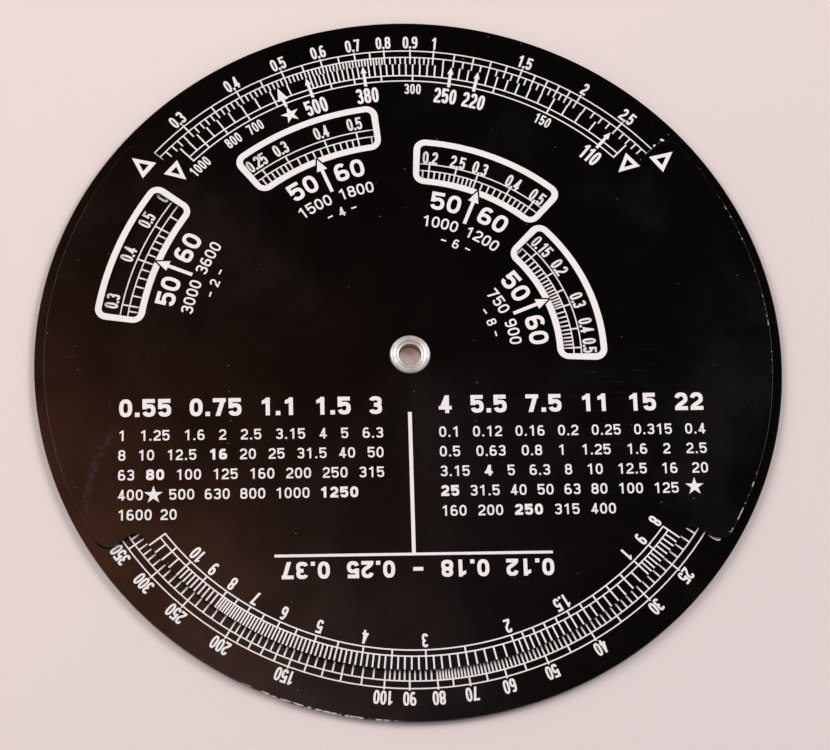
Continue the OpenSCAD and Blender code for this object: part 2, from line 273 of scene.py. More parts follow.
def mix(tree, share, low, high):
    """The colour that lies a share of the way from one to another."""
    return add_node(tree, "ShaderNodeMix", {0: share, 6: low, 7: high}, data_type="RGBA").outputs[2]


def set_surface(tree, shader, colour, roughness, relief, strength, depth):
    """Colour, roughness and a bump of so many millimetres, led to the shader."""
    inputs = {"Height": relief, "Strength": strength, "Distance": depth * MM}
    bump = add_node(tree, "ShaderNodeBump", inputs)
    tree.links.new(colour, shader.inputs["Base Color"])
    tree.links.new(roughness, shader.inputs["Roughness"])
    tree.links.new(bump.outputs["Normal"], shader.inputs["Normal"])


def from_axis(tree):
    """Distance from the pivot's axis: the length of the coordinates with their height left out."""
    flat = place(tree, (1, 1, 0))
    return add_node(tree, "ShaderNodeVectorMath", {0: flat}, operation="LENGTH").outputs["Value"]


def from_point(tree, point):
    """Distance from a point of the flat drawing, which is taken at height 0."""
    inputs = {0: place(tree), 1: (point[0] * MM, point[1] * MM, 0)}
    return add_node(tree, "ShaderNodeVectorMath", inputs, operation="DISTANCE").outputs["Value"]


# How wide a lip of the faces is knocked and given a painted highlight too, and the share of the reach
# that is fully so
KNOCK_AND_HIGHLIGHT_LIP = 0.2
KNOCK_AND_HIGHLIGHT_FADE = 0.6


def knocks_and_highlights(tree, turn, radius, reach, threshold):
    """Knocked places, partly real chips and partly a painted highlight where the rim catches
    light: small noise patches within reach of one point of the rim, and only on the rim and on
    a narrow lip of the faces."""
    near = ramp(tree, from_point(tree, at(turn, radius)), reach * MM, KNOCK_AND_HIGHLIGHT_FADE * reach * MM)
    lip = math(tree, "GREATER_THAN", from_point(tree, (0, 0)), (radius - KNOCK_AND_HIGHLIGHT_LIP) * MM)
    # Chips painted lighter grey: partly real wear, partly a painted highlight on the rim
    chips_and_glints = ramp(tree, noise(tree, 750.0, 3.0), threshold, threshold + 0.08)
    return product(tree, lip, near, chips_and_glints)


# The rub is full within its core, gone at half its width, and fades in over 5 mm at its ends
RUB_CORE, RUB_HALF, RUB_FADE = 0.3, 1.2, 5


def curved_rub(tree, centre, radius, low, high):
    """One soft curved rub: a band about the left side of a circle, faded out at two heights on
    the sheet and away from the circle, and broken up by fine noise."""
    x, y, _ = add_node(tree, "ShaderNodeSeparateXYZ", {0: place(tree)}).outputs
    left = math(tree, "LESS_THAN", x, centre[0] * MM)
    foot = ramp(tree, y, low * MM, (low + RUB_FADE) * MM)
    head = ramp(tree, y, high * MM, (high - RUB_FADE) * MM)
    off = math(tree, "ABSOLUTE", math(tree, "SUBTRACT", from_point(tree, centre), radius * MM))
    core = ramp(tree, off, RUB_HALF * MM, RUB_CORE * MM)
    return product(tree, left, foot, head, core, ramp(tree, noise(tree, 900.0, 4.0), 0.4, 0.6))


HAZY_BLACK = (0.0075, 0.0077, 0.0085, 1)
SCUFFED_BLACK = (0.018, 0.018, 0.021, 1)
RUBBED_BLACK = (0.011, 0.013, 0.0165, 1)
# Lighter grey of the outer rim: partly real wear, partly a painted highlight where it catches light
WORN_AND_HIGHLIGHT_GREY = (0.54, 0.52, 0.54, 1)
DUST_GREY = (0.36, 0.34, 0.33, 1)
WEAR_AND_HIGHLIGHT_FROM = 75


def black_plastic(name, black, smudge_size, knocked_and_highlit, wear_and_highlight, curve=None):
    """Glossy black sheet. Hazy finger marks and soft rubs dull it, a thin film of grease lets it
    shine unevenly, and a little dust lies on it. Its rim is painted lighter grey by the share
    `wear_and_highlight`, partly real wear and partly a painted highlight where the rim catches
    light, and most where it is knocked. There may be one curved rub."""
    material, tree, shader = new_material(name)
    haze = effect(tree, smudges, Size=smudge_size)
    rubs = effect(tree, scuffs, Amount=0.5)
    specks = effect(tree, dust, Spacing=6.5, Size=0.1, Share=0.18)
    rim = add_node(tree, "ShaderNodeAttribute", attribute_name="rim").outputs["Fac"]
    outside = math(tree, "GREATER_THAN", from_axis(tree), WEAR_AND_HIGHLIGHT_FROM * MM)
    # The outer rim painted lighter: partly real wear, partly a painted highlight
    worn_and_highlit = product(tree, ramp(tree, noise(tree, 300.0, 4.0), 0.5, 0.62), wear_and_highlight, outside, rim)
    for knock_and_highlight in knocked_and_highlit:
        worn_and_highlit = math(tree, "MAXIMUM", worn_and_highlit, knocks_and_highlights(tree, *knock_and_highlight))
    colour = mix(tree, product(tree, haze, 0.5), black, HAZY_BLACK)
    colour = mix(tree, product(tree, rubs, 0.4), colour, SCUFFED_BLACK)
    if curve:
        colour = mix(tree, curved_rub(tree, *curve), colour, RUBBED_BLACK)
    colour = mix(tree, worn_and_highlit, colour, WORN_AND_HIGHLIGHT_GREY)
    colour = mix(tree, product(tree, specks, 0.35), colour, DUST_GREY)
    gloss = math(tree, "ADD", ramp(tree, haze, 0, 1, 0.135, 0.18), product(tree, rubs, 0.04))
    gloss = math(tree, "ADD", gloss, product(tree, specks, 0.4), clamp=True)
    relief = math(tree, "SUBTRACT", product(tree, noise(tree, 1400.0, 2.0), 0.25), rubs)
    set_surface(tree, shader, colour, gloss, relief, 0.05, 0.04)
    film = ramp(tree, noise(tree, 62.0, 5.0), 0.36, 0.64, 0.42, 0.64)
    tree.links.new(film, shader.inputs["Specular IOR Level"])
    return material


# A knocked stretch of the base's rim at its lower left, painted lighter: partly real chips, partly a
# painted highlight
BASE_KNOCKS_AND_HIGHLIGHTS = [(195, base_radius, 18.5, 0.45)]
base_black = (0.0016, 0.0014, 0.0012, 1)
base_sheet.data.materials.append(black_plastic("base_plastic", base_black, 38.0, BASE_KNOCKS_AND_HIGHLIGHTS, 0.05))
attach(base_sheet, "base")
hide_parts("base_disc")

# Scales on the base. White ink screened on the plastic, a few hundredths of a millimetre thick.
# The amperes run round the rim, and four rings of power lie where the cover's windows show them.
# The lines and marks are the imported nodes, which get their ink here, and the figures are new.
WINDOWS = range(4)
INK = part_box("ampere_scale")[1].z / MM - base_high
THIN_INK, RUBBED_INK = (0.4, 0.37, 0.38, 1), (0.5, 0.47, 0.47, 1)
INK_SHADE = 0.96


def screen_ink(name, white, drift_scale):
    """White screen ink: its tone drifts a little, it is thinner in small spots where the black
    shows through, and soft rubs darken it."""
    material, tree, shader = new_material(name)
    drift = noise(tree, drift_scale, 4.0)
    pores = noise(tree, 5200.0, 2.0)
    rubs = effect(tree, scuffs, Amount=0.6)
    shade = tuple(INK_SHADE * part for part in white[:3]) + (1,)
    colour = mix(tree, ramp(tree, drift, 0.35, 0.65), white, shade)
    colour = mix(tree, product(tree, ramp(tree, pores, 0.64, 0.8), 0.25), colour, THIN_INK)
    colour = mix(tree, product(tree, rubs, 0.25), colour, RUBBED_INK)
    set_surface(tree, shader, colour, ramp(tree, drift, 0.3, 0.7, 0.4, 0.55), pores, 0.1, 0.03)
    return material


def ink_nodes(names, ink):
    """Packed scales, frames, arrows and lines given their ink."""
    for name in names:
        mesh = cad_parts[name].data
        mesh.materials.clear()
        mesh.materials.append(ink)


base_ink = screen_ink("base_ink", (0.9, 0.855, 0.86, 1), 210.0)
ink_nodes(["ampere_scale"] + [f"power_scale_{number + 1}" for number in WINDOWS], base_ink)

FULLNESS = 0.82
BOW_STEP = 9


def bow(centre, reach, start, end):
    """Points on part of a superellipse: the cosine and the sine of an angle, each raised to one
    power with its sign kept, so that it is fuller than an ellipse. Angles count anticlockwise
    from +X."""
    angle = np.radians(np.linspace(start, end, int((end - start) / BOW_STEP) + 1))
    x, y = (np.sign(part) * np.abs(part) ** FULLNESS for part in (np.cos(angle), np.sin(angle)))
    return np.stack([centre[0] + reach[0] * x, centre[1] + reach[1] * y], -1)


def band(centre, reach, stroke, start, end):
    """A curved stroke: quads between two such curves, half a stroke beyond and within the reach."""
    outer = bow(centre, np.add(reach, stroke / 2), start, end)
    inner = bow(centre, np.subtract(reach, stroke / 2), start, end)
    return list(np.stack([outer[:-1], outer[1:], inner[1:], inner[:-1]], 1))


def sweep(a, b, c, d, points=16):
    """Points on a cubic curve that leaves a towards b and comes to d from c."""
    t = np.linspace(0, 1, points)[:, None]
    a, b, c, d = (np.array(p, float) for p in (a, b, c, d))
    return (1 - t) ** 3 * a + 3 * t * (1 - t) ** 2 * b + 3 * t * t * (1 - t) * c + t ** 3 * d


def pen(path, stroke):
    """A pen of one width drawn along a path: each pair of path points gives a quad between the
    path shifted to its left and to its right by half the stroke."""
    along = np.gradient(path, axis=0)
    along /= np.linalg.norm(along, axis=1)[:, None]
    side = np.stack([-along[:, 1], along[:, 0]], -1) * stroke / 2
    left, right = path + side, path - side
    return list(np.stack([right[:-1], right[1:], left[1:], left[:-1]], 1))


def bar(x_0, y_0, x_1, y_1):
    """An upright rectangle between two corners."""
    return [np.array([[x_0, y_0], [x_1, y_0], [x_1, y_1], [x_0, y_1]], float)]


def slant(x_low, y_low, x_high, y_high, level):
    """A leaning bar with level ends, from its lower to its upper left corner."""
    corners = [[x_low, y_low], [x_low + level, y_low], [x_high + level, y_high], [x_high, y_high]]
    return [np.array(corners, float)]


def strokes_of(sign, w, h, s):
    """The closed shapes that together draw one sign in a box of width w and height h with
    strokes of width s. The box stands on the line of writing, centred on x = 0."""
    side, half = w / 2, s / 2
    reach, top = side - half, h - half
    if sign == "0":
        return band((0, h / 2), (reach, top - h / 2), s, 0, 360)
    if sign == "1":
        stem = 0.1 * w
        flag = [[stem, h], [stem - 0.46 * w, h - 0.17 * h], [stem - 0.46 * w, h - 0.17 * h - 0.9 * s]]
        return bar(stem - half, 0, stem + half, h) + [np.array(flag + [[stem, h - 1.3 * s]])]
    if sign == "2":
        bend = 0.27 * h
        over = band((0, top - bend), (reach, bend), s, 0, 168)
        down = sweep((reach, top - bend), (reach, 0.42 * h), (-reach, 0.34 * h), (-reach, 0.4 * s))
        return over + pen(down, s) + bar(-side, 0, side, s)
    if sign == "3":
        waist = 0.52 * h
        upper = band((0, (top + waist) / 2), (0.95 * reach, (top - waist) / 2), s, -90, 165)
        lower = band((0, (waist + half) / 2), (reach, (waist - half) / 2), s, -165, 90)
        return upper + lower + bar(-0.35 * reach, waist - half, 0, waist + half)
    if sign == "4":
        stem, shelf = 0.42 * reach, 0.2 * h
        run = stem + half + side
        level = 0.9 * s * np.hypot(1, (run - s) / (h - shelf))
        lean = slant(-side, shelf, stem + half - level, h, level)
        return lean + bar(-side, shelf, side, shelf + 0.92 * s) + bar(stem - half, 0, stem + half, h)
    if sign == "5":
        shoulder = 0.6 * h
        bowl = band((0, (shoulder + half) / 2), (reach, (shoulder - half) / 2), s, -165, 150)
        return bowl + bar(-side, 0.43 * h, -side + s, h) + bar(-side, h - s, 0.9 * side, h)
    if sign == "6":
        bend = 0.31 * h - half
        loop = band((0, half + bend), (reach, bend), s, 0, 360)
        return loop + band((0, h / 2), (reach, top - h / 2), s, 48, 192)
    if sign == "7":
        level = s * np.hypot(1, 0.75 * w / h)
        return bar(-side, h - s, side, h) + slant(-0.3 * w, 0, side - level, h, level)
    if sign == "8":
        waist = 0.53 * h
        upper = band((0, (top + waist) / 2), (0.92 * reach, (top - waist) / 2), s, 0, 360)
        lower = band((0, (waist + half) / 2), (reach, (waist - half) / 2), s, 0, 360)
        return upper + lower
    if sign == "9":
        return [np.array([[0, h]]) - shape for shape in strokes_of("6", w, h, s)]
    if sign == ".":
        return bar(-0.55 * s, 0, 0.55 * s, 1.1 * s)
    return bar(-0.42 * w, 0.4 * h, 0.42 * w, 0.4 * h + s)


def solid(points, corners):
    """A flat drawing given the thickness of the ink: its triangles on top, the same turned over
    below, and a wall under each side that only one triangle has."""
    count = len(points)
    tall = np.concatenate([np.full(count, INK), np.zeros(count)])[:, None]
    sides = np.concatenate([corners[:, [0, 1]], corners[:, [1, 2]], corners[:, [2, 0]]])
    own, back = sides[:, 0] * count + sides[:, 1], sides[:, 1] * count + sides[:, 0]
    i, j = sides[~np.isin(own, back)].T
    walls = np.concatenate([np.stack([i, i + count, j + count], -1), np.stack([i, j + count, j], -1)])
    faces = np.concatenate([corners, corners[:, ::-1] + count, walls])
    return np.column_stack([np.concatenate([points, points]), tall]), faces


def turned(flat, turn):
    """Flat points turned clockwise about the pivot by an angle in degrees."""
    c, s = np.cos(np.radians(turn)), np.sin(np.radians(turn))
    return flat @ np.array([[c, -s], [s, c]])


class Figures:
    """One size of printed figures: the solids of its signs, and how far each one moves the pen."""

    def __init__(self, height, width, stroke, pitch, **steps):
        """A sign moves the pen by the pitch, a point by 0.45 and a space by 0.6 of it, unless
        its own step is given."""
        self.size = (width, height, stroke)
        named = {"point": ".", "space": " ", "one": "1"}
        self.step = {".": 0.45 * pitch, " ": 0.6 * pitch} | {named[key]: x for key, x in steps.items()}
        self.pitch = pitch
        self.made = {}

    def sign(self, sign):
        """The solid of one sign, drawn when it is first asked for."""
        if sign not in self.made:
            self.made[sign] = solid(*fill(strokes_of(sign, *self.size), lambda owners: bool(owners)))
        return self.made[sign]

    def line(self, text):
        """The signs of a text and where each is centred along the line, about its middle."""
        steps = np.array([self.step.get(sign, self.pitch) for sign in text])
        middle = np.cumsum(steps) - steps / 2 - steps.sum() / 2
        return [(sign, x) for sign, x in zip(text, middle) if sign != " "]

    def length(self, text):
        """How long a text is from end to end."""
        return sum(self.step.get(sign, self.pitch) for sign in text)


class Print:
    """The figures of one printed group, gathered as solids and joined into one piece."""

    def __init__(self, face):
        """An empty print on the face at this height."""
        self.face = face
        self.points, self.faces = [], []
        self.count = 0

    def put(self, shape, turn, shift):
        """One solid, turned clockwise by an angle in degrees and then shifted."""
        points, faces = shape
        flat = turned(points[:, :2], turn) + np.asarray(shift)
        self.points.append(np.column_stack([flat, points[:, 2] + self.face]))
        self.faces.append(faces + self.count)
        self.count += len(points)

    def along_arc(self, figures, text, turn, radius):
        """A text on an arc about the pivot, its foot on the radius and its top outwards. The
        signs are spaced at half their height."""
        reading = radius + figures.size[1] / 2
        for sign, x in figures.line(text):
            own = turn + np.degrees(x / reading)
            self.put(figures.sign(sign), own, at(own, radius))

    def along_line(self, plain, stout, text, x_0, x_1, y):
        """A row of numbers from x_0 to x_1 with even gaps, its foot at y, upside down if it runs
        to the left. A number with a + before it is stout."""
        words = [(stout, word[1:]) if word[0] == "+" else (plain, word) for word in text.split()]
        lengths = [figures.length(word) for figures, word in words]
        way = np.sign(x_1 - x_0)
        gap = (abs(x_1 - x_0) - sum(lengths)) / max(1, len(words) - 1)
        for (figures, word), length in zip(words, lengths):
            for sign, x in figures.line(word):
                self.put(figures.sign(sign), 0 if way > 0 else 180, (x_0 + way * (length / 2 + x), y))
            x_0 += way * (length + gap)

    def piece(self, name, ink, body, slot):
        """Everything gathered, as one piece that rides on a body."""
        piece = new_piece(name, np.concatenate(self.points), [np.concatenate(self.faces)], [False])
        piece.data.materials.append(ink)
        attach(piece, body)
        return piece


AMPERE_AT_REST = 5.7
AMPERE_DECADE = 90.0
AMPERE_FOOT = 73.75
FIGURED = [1, 1.5, 2, 2.5, 3, 4, 5, 6, 7, 8, 9]
SLACK = 1e-4
small = Figures(2.95, 1.3, 0.47, 1.4, point=0.63)


def figured_values(low, high, mantissas):
    """The values that carry a figure between low and high, both kept: each power of ten times
    each mantissa."""
    decades = np.arange(np.floor(np.log10(low) + SLACK), np.floor(np.log10(high) + SLACK) + 1)
    values = np.outer(10.0 ** decades, mantissas).ravel()
    return [round(v, 4) for v in values if low * (1 - SLACK) < v < high * (1 + SLACK)]


ampere_print = Print(base_high)
for value in figured_values(0.3, 400, FIGURED) + [350]:
    turn = AMPERE_AT_REST + AMPERE_DECADE * np.log10(value)
    ampere_print.along_arc(small, f"{value:g}", turn, AMPERE_FOOT)
ampere_print.piece("ampere_figures", base_ink, "base", "base_print")

MEET_INSET, FIRST_INSET, WINDOW_STEP = 10.6, 6.6, 8.6
MEET_RADIUS = base_radius - MEET_INSET
WINDOW_RADIUS = [MEET_RADIUS - FIRST_INSET - WINDOW_STEP * number for number in WINDOWS]
# By ring: the figures' foot beyond the window's middle, a small turn of theirs, the degrees in a
# decade, and the turn of the ring's 1 from the amperes' 1
POWER_FOOT = [0.7, 0.5, 0.0, 0.3]
POWER_NUDGE = [0.35, 0, 0, -0.5]
POWER_DECADE = [81, 80, 77.8, 71.9]
POWER_UNIT = [-41.7, 7.3, 55.7, 103.5]
FIGURE_GAP = 0.25
# The outer three rings also figure the 2.5, and the third has it misprinted below 1
POWER_FIGURED = [FIGURED, FIGURED, FIGURED, [1, 1.5, 2, 3, 4, 5, 6, 7, 8, 9]]
for number in WINDOWS:
    power_print = Print(base_high)
    foot_radius = WINDOW_RADIUS[number] + POWER_FOOT[number]
    gap_turn = np.degrees(FIGURE_GAP / foot_radius)
    last_end = -np.inf
    for value in figured_values(0.1, 500, POWER_FIGURED[number]):
        text = "2.5" if (number, value) == (2, 0.25) else f"{value:g}"
        turn = AMPERE_AT_REST + POWER_UNIT[number] + POWER_DECADE[number] * np.log10(value)
        half = np.degrees(small.length(text) / 2 / foot_radius)
        if turn - half > last_end + gap_turn:
            power_print.along_arc(small, text, turn + POWER_NUDGE[number], foot_radius)
            last_end = turn + half
    power_print.piece(f"power_figures_{number + 1}", base_ink, "base", "base_print")

# Eyelet. A hollow rivet pressed from thin bright sheet metal, with a rolled flange on top.
# It goes through both discs, and its end is rolled over under the base. The cover turns on it.
EYELET_TURNS = 192
BORE, SHEET = 2.35, 0.3
FLANGE, FLANGE_PLAY, FLANGE_SEAT = 4.35, 0.03, 0.3
CLINCH, CLINCH_HIGH = 4.0, 0.4
CROWN_SHARE, LEDGE_SHARE, LEDGE_HIGH = 0.28, 0.3, 0.5
GROOVE_AT, GROOVE_WIDE, GROOVE_DEEP = 3.9, 0.08, 0.1
flange_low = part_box("cover_disc")[1].z / MM + FLANGE_PLAY
flange_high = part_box("eyelet")[1].z / MM - flange_low


def lathe(name, profile):
    """A closed profile of radii and heights carried once round the pivot's axis: each row of
    the grid is one profile point, and the columns are equal turns."""
    turns = np.radians(np.linspace(360, 0, EYELET_TURNS, endpoint=False))
    radius = profile[:, :1]
    height = np.broadcast_to(profile[:, 1:], (len(profile), EYELET_TURNS))
    points = np.stack([radius * np.sin(turns), radius * np.cos(turns), height], -1).reshape(-1, 3)
    return new_piece(name, points, [strip(len(profile) + 1, EYELET_TURNS, 0) % len(points)], [True])


def eyelet_profile():
    """The section of the eyelet from the mouth of the bore outwards over the flange, in under
    it, down the barrel, out round the clinched end and back up the bore. The outer round of
    the flange has a pressed groove, a bell curve taken off its height."""
    crown = FLANGE - CROWN_SHARE * (FLANGE - BORE)
    ledge = BORE + LEDGE_SHARE * (FLANGE - BORE)
    step = LEDGE_HIGH * flange_high
    barrel = BORE + SHEET
    mouth = np.radians(np.linspace(0, 90, 9))
    rise = np.linspace(0, 1, 13)
    funnel = step + (flange_high - step) * np.sin(rise * np.pi / 2)
    over = np.radians(np.linspace(90, 0, 25))
    outer = crown + (FLANGE - crown) * np.cos(over)
    groove = GROOVE_DEEP * np.exp(-(((outer - GROOVE_AT) / GROOVE_WIDE) ** 2))
    roll = np.radians(np.linspace(0, 90, 7))
    parts = [
        (ledge - (ledge - BORE) * np.cos(mouth), flange_low + step * np.sin(mouth)),
        (ledge + (crown - ledge) * rise, flange_low + funnel),
        (outer, flange_low + flange_high * np.sin(over) - groove),
        ([barrel + FLANGE_SEAT, barrel, barrel], [flange_low, flange_low, CLINCH_HIGH]),
        (CLINCH - CLINCH_HIGH * (1 - np.cos(roll)), CLINCH_HIGH * (1 - np.sin(roll))),
        (BORE + CLINCH_HIGH * (1 - np.sin(roll)), CLINCH_HIGH * (1 - np.cos(roll))),
    ]
    return np.concatenate([np.stack(part, -1) for part in parts])[::-1]


eyelet_ring = lathe("eyelet_ring", eyelet_profile())
BRIGHT, TARNISHED = (0.74, 0.71, 0.71, 1), (0.6, 0.535, 0.51, 1)
POLISHED, BORE_SHADE_BROWN = (0.82, 0.81, 0.8, 1), (0.42, 0.26, 0.155, 1)
BORE_SHADE_FROM, BORE_SHADE_FULL = BORE + 0.1, BORE + 0.02
RINGS_PER_METRE = 5200.0


def bright_metal(name):
    """Plated sheet metal gone soft with handling: fine rings from the press tool, faint rubs, a
    dull tarnish in patches, and a painted brown shade down the bore and round its mouth."""
    material, tree, shader = new_material(name)
    x, y, _ = add_node(tree, "ShaderNodeSeparateXYZ", {0: place(tree)}).outputs
    radius = from_axis(tree)
    polar = {0: product(tree, radius, RINGS_PER_METRE), 1: math(tree, "ARCTAN2", y, x)}
    ring_place = add_node(tree, "ShaderNodeCombineXYZ", polar).outputs[0]
    rings = noise(tree, 1.0, 2.0, vector=ring_place)
    dull = ramp(tree, noise(tree, 500.0, 4.0), 0.45, 0.7)
    rubs = effect(tree, scuffs, Amount=1.0)
    colour = mix(tree, dull, BRIGHT, TARNISHED)
    colour = mix(tree, product(tree, rubs, 0.4), colour, POLISHED)
    # Painted brown shade down the bore and round its mouth
    colour = mix(tree, ramp(tree, radius, BORE_SHADE_FROM * MM, BORE_SHADE_FULL * MM), colour, BORE_SHADE_BROWN)
    gloss = math(tree, "ADD", ramp(tree, dull, 0, 1, 0.46, 0.6), product(tree, rings, 0.06))
    shader.inputs["Metallic"].default_value = 1.0
    set_surface(tree, shader, colour, gloss, rings, 0.12, 0.04)
    return material


eyelet_ring.data.materials.append(bright_metal("eyelet_metal"))
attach(eyelet_ring, "base")
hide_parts("eyelet")

# Cover disc. A thinner sheet of the same black plastic that turns on the eyelet. It is punched
# with a cut-out at its top edge, a wider one at its bottom edge, two tabs and four windows.
cover_low, cover_high = (corner.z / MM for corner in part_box("cover_disc"))
COVER_INSET = 2.1
cover_radius = base_radius - COVER_INSET
TOP_HALF_TURN, LOW_HALF_TURN = 48.7, 56.3
TAB_CORNER, TAB_FILLET = 3.2, 1.4
WINDOW_HIGH, WINDOW_LONG, WINDOW_CORNER = 7.86, 29.1, 1.1
FRAME_WIDE, FRAME_GAP = 1.45, 0.16
EDGE_STEP, FILLET_STEP, CORNER_STEP = 0.75, 10, 8


def arc(radius, start, end, centre=(0.0, 0.0), step=EDGE_STEP):
    """Points along an arc from one turn up to, but without, another."""
    count = max(2, int(np.ceil(abs(end - start) / step)))
    return at(np.linspace(start, end, count, endpoint=False), radius, centre)


def tab_edge(half_turn):
    """Half a cut-out from its middle to the rim: the arc where the scales meet, the fillet at
    the foot of the tab and the round on the tab's corner, each tangent to the next."""
    foot = half_turn - np.degrees(np.arcsin(TAB_FILLET / (MEET_RADIUS + TAB_FILLET)))
    tab = half_turn + np.degrees(np.arcsin(TAB_CORNER / (cover_radius - TAB_CORNER)))
    fillet_centre = at(foot, MEET_RADIUS + TAB_FILLET)
    corner_centre = at(tab, cover_radius - TAB_CORNER)
    parts = [
        arc(MEET_RADIUS, 0, foot),
        arc(TAB_FILLET, foot + 180, half_turn + 90, fillet_centre, FILLET_STEP),
        at([half_turn + 90], TAB_FILLET, fillet_centre),
        arc(TAB_CORNER, half_turn - 90, tab, corner_centre, CORNER_STEP),
    ]
    return np.concatenate(parts), tab


def cover_outline():
    """The whole edge: top cut-out, tab and bottom cut-out on the right, mirrored on the left."""
    top, top_tab = tab_edge(TOP_HALF_TURN)
    low, low_tab = tab_edge(LOW_HALF_TURN)
    rim = arc(cover_radius, top_tab, 180 - low_tab)
    right = np.concatenate([top, rim, low[:0:-1] * [1, -1], [[0, -MEET_RADIUS]]])
    left = right[-2:0:-1] * [-1, 1]
    return np.concatenate([right, left])[::-1]


def window_outline(number, middle):
    """A sector with rounded corners, as long round its own middle radius for every window."""
    outer, inner = WINDOW_RADIUS[number] + WINDOW_HIGH / 2, WINDOW_RADIUS[number] - WINDOW_HIGH / 2
    half = np.degrees(WINDOW_LONG / 2 / WINDOW_RADIUS[number])
    outer_turn = half - np.degrees(np.arcsin(WINDOW_CORNER / (outer - WINDOW_CORNER)))
    inner_turn = half - np.degrees(np.arcsin(WINDOW_CORNER / (inner + WINDOW_CORNER)))
    outer_corner = at(outer_turn, outer - WINDOW_CORNER)
    inner_corner = at(inner_turn, inner + WINDOW_CORNER)
    right = np.concatenate([
        arc(outer, 0, outer_turn),
        arc(WINDOW_CORNER, outer_turn, half + 90, outer_corner, CORNER_STEP),
        at([half + 90], WINDOW_CORNER, outer_corner),
        arc(WINDOW_CORNER, half + 90, inner_turn + 180, inner_corner, CORNER_STEP),
        arc(inner, inner_turn, 0),
    ])
    return turned(np.concatenate([right, [[0, inner]], right[:0:-1] * [-1, 1]]), middle)


# The frames of the two innermost windows stand a gap apart, and the others turn on by as much
frame_long = WINDOW_LONG + 2 * FRAME_WIDE + FRAME_GAP
window_turn = np.degrees(frame_long / 2 * (1 / WINDOW_RADIUS[2] + 1 / WINDOW_RADIUS[3]))
WINDOW_AT = [(number - np.mean(WINDOWS)) * window_turn for number in WINDOWS]
cover_outlines = [cover_outline(), at(hole_turn, HOLE_RADIUS)]
cover_outlines += [window_outline(number, WINDOW_AT[number]) for number in WINDOWS]
cover_sheet = plate("cover_sheet", cover_outlines, cover_low, cover_high)
# Two knocked stretches of the cover's right edge, painted lighter: partly real chips, partly a painted
# highlight
COVER_KNOCKS_AND_HIGHLIGHTS = [(78, cover_radius, 24, 0.58), (116.5, cover_radius, 9, 0.5)]
CURVED_RUB = ((-39.2, -34), 29.5, -37, -14)
cover_black = (0.0015, 0.0013, 0.0011, 1)
cover_plastic = black_plastic("cover_plastic", cover_black, 46.0, COVER_KNOCKS_AND_HIGHLIGHTS, 0.08, CURVED_RUB)
cover_sheet.data.materials.append(cover_plastic)
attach(cover_sheet, "cover")
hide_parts("cover_disc")

# Scales on the cover. The same white ink on the cover's upper face: volts along the top cut-out,
# with bold figures and arrows at the usual supply voltages, and a plain scale along the bottom.
cover_ink = screen_ink("cover_ink", (0.93, 0.885, 0.9, 1), 190.0)
cover_nodes = ["volt_scale", "lower_scale", "star_mark", "divider_lines"]
cover_nodes += [f"window_{kind}_{number + 1}" for kind in ("frame", "arrow") for number in WINDOWS]
ink_nodes(cover_nodes, cover_ink)

COVER_DECADE = 90.0
VOLT_LOW, VOLT_HIGH = 100, 1000
LOWER_LOW, LOWER_HIGH = 0.8, 12
FINE_FOOT, BOLD_FOOT, LOWER_FOOT = 62.0, 60.3, 61.7
fine = Figures(2.45, 1.05, 0.36, 1.3)
bold = Figures(3.65, 1.5, 0.58, 1.72, one=1.42)


def volt_turn(volts):
    """The turn of a voltage: the decade's degrees times the logarithm of the scale's middle
    value over it, so that the scale falls and is even about the cover's top."""
    return COVER_DECADE * np.log10(np.sqrt(VOLT_LOW * VOLT_HIGH) / volts)


volt_print = Print(cover_high)
for volts in (1000, 800, 700, 300, 150):
    volt_print.along_arc(fine, f"{volts:g}", volt_turn(volts), FINE_FOOT)
# The 250 and the 220 are moved apart a little, since they would touch
for volts, nudge in ((500, 0), (380, 0), (250, -0.42), (220, 0.44), (110, 0)):
    volt_print.along_arc(bold, f"{volts:g}", volt_turn(volts) + nudge, BOLD_FOOT)
volt_print.piece("volt_figures", cover_ink, "cover", "cover_print")

lower_print = Print(cover_high)
lower_unit = 180 - COVER_DECADE * np.log10(np.sqrt(LOWER_LOW * LOWER_HIGH))
# Tenths are printed as their digit alone
for value in (0.8, 0.9, 1, 1.5, 2, 3, 4, 5, 6, 7, 8, 9, 10):
    turn = lower_unit + COVER_DECADE * np.log10(value)
    text = f"{value:g}" if value >= 1 else f"{10 * value:g}"
    lower_print.along_arc(small, text, turn, LOWER_FOOT)
lower_print.piece("lower_figures", cover_ink, "cover", "cover_print")

# Marks and figures round the windows and at the ends of the scales, in the same white ink.
# Each window has two bold figures beside its arrow and two lines under them.
PAIR_FOOT, PAIR_OUT = -11.1, 5.5
SECOND_FOOT, THIRD_FOOT = -15.35, -18.9
heavy = Figures(4.2, 3.0, 0.82, 3.6)
plain = Figures(2.6, 1.7, 0.4, 2.05, space=1.6)
slight = Figures(2.15, 1.4, 0.34, 1.75)
SPEEDS = ["3000 3600", "1500 1800", "1000 1200", "750 900"]
POLES = ["- 2 -", "- 4 -", "- 6 -", "- 8 -"]
for number in WINDOWS:
    window_print = Print(cover_high)
    middle, radius = WINDOW_AT[number], WINDOW_RADIUS[number]
    out = np.degrees(PAIR_OUT / (radius + PAIR_FOOT + heavy.size[1] / 2))
    window_print.along_arc(heavy, "50", middle - out, radius + PAIR_FOOT)
    window_print.along_arc(heavy, "60", middle + out, radius + PAIR_FOOT)
    window_print.along_arc(plain, SPEEDS[number], middle, radius + SECOND_FOOT)
    window_print.along_arc(slight, POLES[number], middle, radius + THIRD_FOOT)
    window_print.piece(f"window_figures_{number + 1}", cover_ink, "cover", "cover_print")

